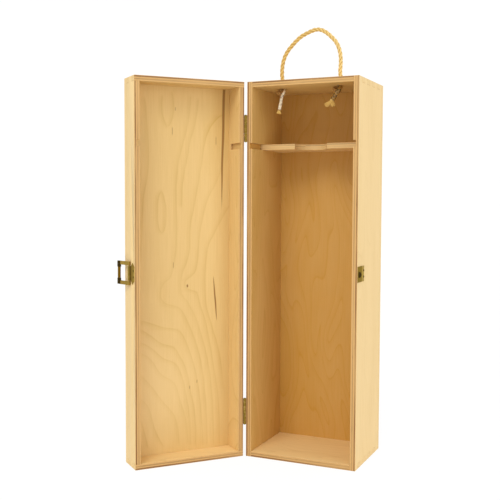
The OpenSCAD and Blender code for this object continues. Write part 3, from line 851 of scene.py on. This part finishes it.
def knot_turns(side):
    """The turns of an overhand knot in mm: one way round a flat three-lobed loop."""
    middle = Vector(KNOTS[side])
    begin, steps = math.pi / 6, 24
    points = []
    for k in range(1, steps):
        t = begin + (2 * math.pi - begin) * k / steps
        reach = 2.7 + 1.3 * math.cos(3 * t)
        points.append(middle + Vector((reach * math.cos(2 * t), -reach * math.sin(2 * t),
                                       1.4 * math.sin(3 * t))))
    return points


def rounded(points, spacing):
    """Points along a smooth line through the given ones, about the given distance apart."""
    ends = [2 * points[0] - points[1]] + points + [2 * points[-1] - points[-2]]
    line = []
    for before, start, end, after in zip(ends, ends[1:], ends[2:], ends[3:]):
        steps = max(2, round((end - start).length / spacing))
        for k in range(steps):
            s = k / steps
            line.append(0.5 * (2 * start + (end - before) * s
                               + (2 * before - 5 * start + 4 * end - after) * s ** 2
                               + (3 * start - before - 3 * end + after) * s ** 3))
    line.append(points[-1])
    return line


def rope_line():
    """The rope's whole middle line in mm, and how thick it is at each point, from 0 to 1."""
    tails = {side: [Vector(point) for point in points] for side, points in TAILS.items()}
    route = (tails["left"][::-1] + knot_turns("left")[::-1] + [Vector(point) for point in ARCH]
             + knot_turns("right") + tails["right"])
    line = rounded(route, 1.0)
    taped = {side: len(rounded(tail, 1.0)) for side, tail in tails.items()}
    thickness = []
    for k, point in enumerate(line):
        side, from_end = ("left", k) if 2 * k < len(line) else ("right", len(line) - 1 - k)
        at_knot, at_end = TAIL_THICKNESS[side]
        if from_end < taped[side]:
            thickness.append(at_knot + (at_end - at_knot) * (1 - from_end / taped[side]))
        else:
            loosened = min(1.0, max(0.0, (point.z - PULLED_TIGHT) / 3.0))
            thickness.append(0.80 + 0.20 * loosened)
    return line, thickness


def fibre_bunch(work, start, way, rng, count, root, flare, radius):
    """Adds a bunch of single fibres that spread from a round root, each a thin bent tube."""
    length = way.length
    along = way.normalized()
    side = along.cross(Vector((0, 1, 0))).normalized()
    up = along.cross(side)
    for _ in range(count):
        outward = around(side, up, rng.uniform(0, 2 * math.pi))
        out = math.sqrt(rng.uniform(0, 1))
        foot = start + outward * root * out
        reach = length * rng.uniform(0.7, 1.05)
        spread = outward * flare * out
        bow = (side * rng.uniform(-1, 1) + up * rng.uniform(-1, 1)) * 0.35 * MM
        rings = []
        for s in (0.0, 0.35, 0.7, 1.0):
            centre = foot + along * reach * s + spread * s ** 1.6 + bow * math.sin(math.pi * s)
            taper = radius * (1 - 0.6 * s)
            rings.append([centre + around(side, up, angle) * taper for angle in (0.0, 2.1, 4.2)])
        loops = [[work.verts.new(point) for point in ring] for ring in rings]
        for low, high in zip(loops, loops[1:]):
            for k in range(3):
                work.faces.new((low[k], high[k], high[(k + 1) % 3], low[(k + 1) % 3]))
        work.faces.new(loops[0])
        work.faces.new(loops[-1][::-1])


# ---- Properties ----

def colour_property(name, description, default):
    return bpy.props.FloatVectorProperty(name=name, description=description, default=default,
                                         size=3, min=0.0, max=1.0, subtype="COLOR")


def number_property(name, description, default, **more):
    return bpy.props.FloatProperty(name=name, description=description, default=default, min=0.0, **more)


def length_property(name, description, default):
    return number_property(name, description, default, unit="LENGTH", subtype="DISTANCE", precision=5)


class WoodProperties(bpy.types.PropertyGroup):
    """Colours and easing of the plywood boards."""

    pale: colour_property("Pale", "Lightest veneer", (0.91, 0.66, 0.31))
    # Deep is the darkest veneer, and also the colour that painted shade of the inner faces leans to
    deep: colour_property("Deep", "Darkest veneer", (0.475, 0.252, 0.006))
    # Only painted shade: the inner faces and groove floors turn towards the colour on the next line
    painted_shade_veneer: colour_property("Reddish veneer", "The deepest veneer", (0.62, 0.235, 0.002))
    pore: colour_property("Pores", "Short flecks in the veneer", (0.34, 0.17, 0.06))
    mark: colour_property("Marks", "Knot and mineral streaks", (0.30, 0.145, 0.034))
    ply_light: colour_property("Light ply", "Edge of a ply cut along its grain", (0.69, 0.42, 0.16))
    ply_dark: colour_property("Dark ply", "Edge of a ply cut across its grain", (0.29, 0.135, 0.042))
    glue: colour_property("Glue line", "Line between two plies", (0.20, 0.10, 0.04))
    easing: length_property("Easing", "Width of the sanded edges", 0.3 * MM)


class MetalProperties(bpy.types.PropertyGroup):
    """Colours of the antiqued brass, and the size of the nails' heads."""

    patina: colour_property("Patina", "Main colour", (0.27, 0.18, 0.03))
    brown: colour_property("Brown patina", "Main colour of the loop", (0.23, 0.125, 0.008))
    rubbed: colour_property("Rubbed", "Where the brass shows through", (0.55, 0.39, 0.11))
    sheen: colour_property("Sheen", "Reflection at a low angle", (0.75, 0.62, 0.35))
    tarnish: colour_property("Tarnish", "Darkest specks", (0.055, 0.035, 0.01))
    head_radius: length_property("Head radius", "Radius of a nail's head", 1.2 * MM)
    head_height: length_property("Head height", "Height of a nail's head", 0.55 * MM)


class RopeProperties(bpy.types.PropertyGroup):
    """Sizes and colours of the rope and its tape."""

    strand_radius: length_property("Strand radius", "Radius of each of the three strands", 1.15 * MM)
    strand_offset: length_property("Strand offset", "Distance of a strand from the middle", 1.12 * MM)
    lay_length: length_property("Lay length", "Length of one full turn of a strand", 15 * MM)
    bright: colour_property("Bright fibre", "Lightest fibre", (0.80, 0.535, 0.155))
    shaded: colour_property("Shaded fibre", "Fibre in the furrows", (0.46, 0.25, 0.06))
    # Painted shade of the knots and of the rope where it is pulled thin
    knot_painted_shade: colour_property("Knotted fibre", "Fibre in the knots", (0.50, 0.27, 0.08))
    frayed: colour_property("Frayed fibre", "Loose hairs", (0.92, 0.635, 0.175))
    # Painted light on the rope's right
    painted_light_fibre: colour_property("Bleached fibre", "The rope on its right", (0.97, 0.71, 0.27))
    # Dark specks of painted reflection in the tape
    painted_reflection_specks: colour_property("Grime", "Dark specks in the tape", (0.10, 0.055, 0.018))
    # The two tapes' colours are painted reflections: a pale highlight on the left, a dark one on the
    # right
    milky_tape: colour_property("Milky tape", "Tape of the left tail", (0.98, 0.84, 0.60))
    stained_tape: colour_property("Stained tape", "Tape of the right tail", (0.60, 0.33, 0.07))
    tape_radius: length_property("Tape radius", "Radius of the tape round the open rope", 2.64 * MM)
    hair_density: number_property("Hair density", "Loose hairs for each square metre of rope", 160000.0)


class StudioProperties(bpy.types.PropertyGroup):
    """The floor, the backdrop and the lamps."""

    floor: colour_property("Floor", "Floor and backdrop", (0.92, 0.92, 0.92))
    ambient: number_property("Ambient", "Strength of the even light from all round", 0.71, max=5.0)
    key: number_property("Key lamp", "Power of the large lamp above and in front", 54.0, unit="POWER")
    fill: number_property("Side lamp", "Power of the lamp on the right", 8.0, unit="POWER")


GROUPS = {
    "bottle_box_wood": WoodProperties,
    "bottle_box_metal": MetalProperties,
    "bottle_box_rope": RopeProperties,
    "bottle_box_studio": StudioProperties,
}


# ---- Operators ----

class BOTTLEBOX_OT_camera(bpy.types.Operator):
    """Adds the camera, a little above the middle of the box and to its right"""

    bl_idname = "bottlebox.camera"
    bl_label = "Camera"

    def execute(self, context):
        data = bpy.data.cameras.new("camera")
        data.sensor_width = 36.0
        data.lens = 61.15
        data.shift_x = 0.0428
        data.shift_y = -0.0028
        data.clip_start = 0.05
        camera = added("camera", data)
        camera.location = (0.3172, -0.8835, 0.2862)
        yaw, pitch, roll = math.radians(25.23), math.radians(3.32), math.radians(0.15)
        level = Matrix.Rotation(math.pi / 2 - pitch, 3, "X")
        turn = Matrix.Rotation(yaw, 3, "Z") @ level @ Matrix.Rotation(roll, 3, "Z")
        camera.rotation_euler = turn.to_euler()
        context.scene.camera = camera
        return {"FINISHED"}


class BOTTLEBOX_OT_rope(bpy.types.Operator):
    """Lays the rope through its holes, with its knots and tails"""

    bl_idname = "bottlebox.rope"
    bl_label = "Rope"

    def execute(self, context):
        rope = context.scene.bottle_box_rope
        line, thickness = rope_line()
        mesh = bpy.data.meshes.new("rope_line")
        mesh.from_pydata([point * MM for point in line], [(k, k + 1) for k in range(len(line) - 1)], [])
        write_attribute(mesh, "thick", "POINT", thickness)
        finish, hair_finish = laid_fibre(rope), loose_fibre(rope)
        laid = grow(added("rope_line", mesh), rope_tree(), {
            "Strand radius": rope.strand_radius, "Strand offset": rope.strand_offset,
            "Lay length": rope.lay_length, "Material": finish})
        piece = as_object("rope", laid, finish, None)
        hairs = grow(added("hair_base", laid.copy()), hair_tree(),
                     {"Density": rope.hair_density, "Material": hair_finish})
        fuzz = as_object("rope_hairs", hairs, hair_finish, None)
        for part in (piece, fuzz):
            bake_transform(part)
        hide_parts("rope_handle", "rope_end_left", "rope_end_right")
        return {"FINISHED"}


class BOTTLEBOX_OT_frayed_ends(bpy.types.Operator):
    """Frays the cut ends of the rope"""

    bl_idname = "bottlebox.frayed_ends"
    bl_label = "Frayed ends"

    def execute(self, context):
        finish = loose_fibre(context.scene.bottle_box_rope)
        for side, ways in TUFTS.items():
            rng = random.Random(7)
            work = bmesh.new()
            cut_end = Vector(TAILS[side][-1]) * MM
            for way in ways:
                way = Vector(way) * MM
                fibre_bunch(work, cut_end - way * 0.2, way * 1.2, rng, count=110, root=1.3 * MM,
                            flare=1.5 * MM, radius=0.16 * MM)
            name = "frayed_end_" + side
            as_object(name, as_mesh(work, name), finish, "case")
        return {"FINISHED"}


def tape_ring(route, k, side, outer_radius, gap):
    """A ring of points round a tail where its tape is wound on, creased, and thinner by a gap."""
    at_knot, at_end = TAIL_THICKNESS[side]
    radius = outer_radius * (at_knot + (at_end - at_knot) * k / (len(route) - 1)) - gap
    way = (route[min(k + 1, len(route) - 1)] - route[max(k - 1, 0)]).normalized()
    across = way.cross(Vector((0, 1, 0))).normalized()
    up = across.cross(way)
    sides, crease, depth = 36, 2 * MM, 0.13 * MM
    points = []
    for turn in range(sides):
        out = around(across, up, 2 * math.pi * turn / sides)
        wrinkle = noise.noise((route[k] + out * crease) * 900) * depth
        points.append(route[k] + out * (radius + wrinkle))
    return points


class BOTTLEBOX_OT_tape(bpy.types.Operator):
    """Winds clear tape round both tails"""

    bl_idname = "bottlebox.tape"
    bl_label = "Tape"

    def execute(self, context):
        rope = context.scene.bottle_box_rope
        # The left tape's pale colour is a painted highlight, the right tape's dark colour and specks
        # painted dark reflections
        finishes = {
            "left": clear_tape("milky_tape", rope.milky_tape, rope.painted_reflection_specks, 0.95, 0.05),
            "right": clear_tape("stained_tape", rope.stained_tape, rope.painted_reflection_specks, 0.8, 0.85),
        }
        for side, finish in finishes.items():
            route = rounded([Vector(point) for point in TAILS[side]], 0.6)
            last = next(k for k, point in enumerate(route) if (point - route[-1]).length < BARE_END)
            route = [point * MM for point in route[:last]]
            outer = [tape_ring(route, k, side, rope.tape_radius, 0.0) for k in range(len(route))]
            inner = [tape_ring(route, k, side, rope.tape_radius, TAPE_THICKNESS)
                     for k in reversed(range(len(route)))]
            as_object("tape_" + side, tube(outer + inner), finish, "case",
                      ["tape_wrap_" + side])
        return {"FINISHED"}


class BOTTLEBOX_OT_boards(bpy.types.Operator):
    """Veneers the boards of the body and the lid, eases their edges and shows their plies"""

    bl_idname = "bottlebox.boards"
    bl_label = "Boards"

    def execute(self, context):
        wood = context.scene.bottle_box_wood
        plain = plywood(wood)
        marked = plywood(wood, marked=True)
        for k, node in enumerate(BOARDS):
            mesh = eased_copy(node, wood.easing, 2 * MM)
            special = node == "lid_panel"
            mark_board(mesh, node, 0.0 if special else 0.37 * (k + 1))
            as_object("board_" + node, mesh, marked if special else plain, BOARDS[node][0],
                      [node])
        return {"FINISHED"}


class BOTTLEBOX_OT_hardware(bpy.types.Operator):
    """Eases and finishes the hinges, the latch and its strike"""

    bl_idname = "bottlebox.hardware"
    bl_label = "Hardware"

    def execute(self, context):
        metal = context.scene.bottle_box_metal
        olive = antique_brass(metal, "olive_brass", metal.patina, 0.35)
        for node, (body, easing) in HARDWARE.items():
            mesh = eased_copy(node, easing * MM, 0.7 * MM)
            smooth_but_sharp(mesh)
            finish = olive
            if node in WEAR:
                main = metal.brown if node == "latch_loop" else metal.patina
                finish = antique_brass(metal, "brass_of_" + node, main, 0.35, WEAR[node])
            as_object("brass_" + node, mesh, finish, body, [node])
        return {"FINISHED"}


class BOTTLEBOX_OT_nails(bpy.types.Operator):
    """Sets a domed head on every nail of the hinges, the latch and the strike"""

    bl_idname = "bottlebox.nails"
    bl_label = "Nails"

    def execute(self, context):
        metal = context.scene.bottle_box_metal
        finish = nail_brass(metal)
        tree = nail_tree()
        swing = to_closed_lid().inverted().to_3x3()
        left, right = Vector((-1, 0, 0)), Vector((1, 0, 0))
        groups = {
            "hinge_body_nails": ("case", left),
            "hinge_lid_nails": ("lid", swing @ left),
            "latch_nails": ("lid", swing @ right),
            "strike_nails": ("case", right),
        }
        for node, (body, facing) in groups.items():
            seats = []
            for solid in islands(node):
                out = max(point.dot(facing) for point in solid)
                middle = sum(solid, Vector()) / len(solid)
                middle -= facing * middle.dot(facing)
                seats.append(middle + facing * (out - HEAD_SEAT))
            mesh = bpy.data.meshes.new(node)
            mesh.from_pydata(seats, [], [])
            write_attribute(mesh, "facing", "POINT", [facing] * len(seats))
            heads = grow(added(node + "_points", mesh), tree, {
                "Head radius": metal.head_radius, "Head height": metal.head_height, "Material": finish})
            as_object("heads_" + node, heads, finish, body, [node])
        return {"FINISHED"}


def studio_paper(floor):
    """A sheet of paper that lies under the box and curves up behind it."""
    finish = Finish("studio_paper")
    rays = finish.make("ShaderNodeLightPath").outputs
    seen = finish.largest(*[Wire(finish, rays[name]) for name in (
        "Is Camera Ray", "Is Glossy Ray", "Is Transmission Ray")])
    glow = finish.add("ShaderNodeEmission", None, {"Color": (1, 1, 1), "Strength": 1.05})
    finish.set(Base_Color=floor, Roughness=0.9)
    mixed = finish.add("ShaderNodeMixShader", None,
                       {0: seen * 0.86, 1: Wire(finish, finish.shader.outputs[0]), 2: glow})
    finish.feed(finish.output.inputs["Surface"], mixed)

    half, front, back, bend, top, steps = 3.0, -2.5, 1.8, 0.8, 3.0, 12
    profile = [(front, 0.0)]
    for k in range(steps + 1):
        angle = math.radians(90 * k / steps)
        profile.append((back - bend + bend * math.sin(angle), bend - bend * math.cos(angle)))
    profile.append((back, top))
    work = bmesh.new()
    rows = [[work.verts.new((x, y, z)) for x in (-half, half)] for y, z in profile]
    for low, high in zip(rows, rows[1:]):
        work.faces.new((low[0], low[1], high[1], high[0]))
    mesh = as_mesh(work, "paper")
    mesh.shade_smooth()
    mesh.materials.append(finish.material)
    added("paper", mesh)


def studio_sky(ambient):
    """Even light from all round, which the camera sees as white."""
    world = bpy.data.worlds.new("studio")
    world.use_nodes = True
    sky = Tree(world.node_tree)
    sky.tree.nodes.clear()
    seen = sky.add("ShaderNodeLightPath")
    light = sky.add("ShaderNodeBackground", None,
                    {"Color": (1, 1, 1), "Strength": seen * (1 - ambient) + ambient})
    sky.make("ShaderNodeOutputWorld", None, {0: light})
    return world


def studio_lamp(name, place, target, size, power):
    """A square lamp that points at its target."""
    data = bpy.data.lights.new(name, "AREA")
    data.shape = "SQUARE"
    data.size = size
    data.energy = power
    lamp = added(name, data)
    lamp.location = place
    lamp.rotation_euler = (Vector(target) - Vector(place)).to_track_quat("-Z", "Y").to_euler()


class BOTTLEBOX_OT_studio(bpy.types.Operator):
    """Adds the floor, the backdrop and the lamps"""

    bl_idname = "bottlebox.studio"
    bl_label = "Studio"

    def execute(self, context):
        studio = context.scene.bottle_box_studio
        studio_paper(studio.floor)
        context.scene.world = studio_sky(studio.ambient)
        studio_lamp("key_lamp", (-0.1, -2.9, 2.7), (0, 0, 0.2), 1.8, studio.key)
        studio_lamp("side_lamp", (1.9, -0.6, 0.5), (0, 0, 0.15), 1.2, studio.fill)
        context.scene.view_settings.view_transform = "Standard"
        return {"FINISHED"}


class BOTTLEBOX_PT_workshop(bpy.types.Panel):
    """Lists what builds the box, and its sizes and colours"""

    bl_idname = "BOTTLEBOX_PT_workshop"
    bl_label = "Bottle Box"
    bl_space_type = "VIEW_3D"
    bl_region_type = "UI"
    bl_category = "Bottle Box"

    def draw(self, context):
        for operator in OPERATORS:
            self.layout.operator(operator.bl_idname)
        for name, group in GROUPS.items():
            box = self.layout.box()
            for prop in group.__annotations__:
                box.prop(getattr(context.scene, name), prop)


OPERATORS = [
    BOTTLEBOX_OT_camera, BOTTLEBOX_OT_rope, BOTTLEBOX_OT_frayed_ends, BOTTLEBOX_OT_tape,
    BOTTLEBOX_OT_boards, BOTTLEBOX_OT_hardware, BOTTLEBOX_OT_nails, BOTTLEBOX_OT_studio,
]
CLASSES = [*GROUPS.values(), *OPERATORS, BOTTLEBOX_PT_workshop]


def register():
    for kind in CLASSES:
        bpy.utils.register_class(kind)
    for name, group in GROUPS.items():
        setattr(bpy.types.Scene, name, bpy.props.PointerProperty(type=group))


def unregister():
    for name in GROUPS:
        delattr(bpy.types.Scene, name)
    for kind in reversed(CLASSES):
        bpy.utils.unregister_class(kind)


def main():
    """Registers the classes and builds everything in order."""
    register()
    for operator in OPERATORS:
        family, name = operator.bl_idname.split(".")
        getattr(getattr(bpy.ops, family), name)()
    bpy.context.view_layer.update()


if __name__ == "__main__":
    main()
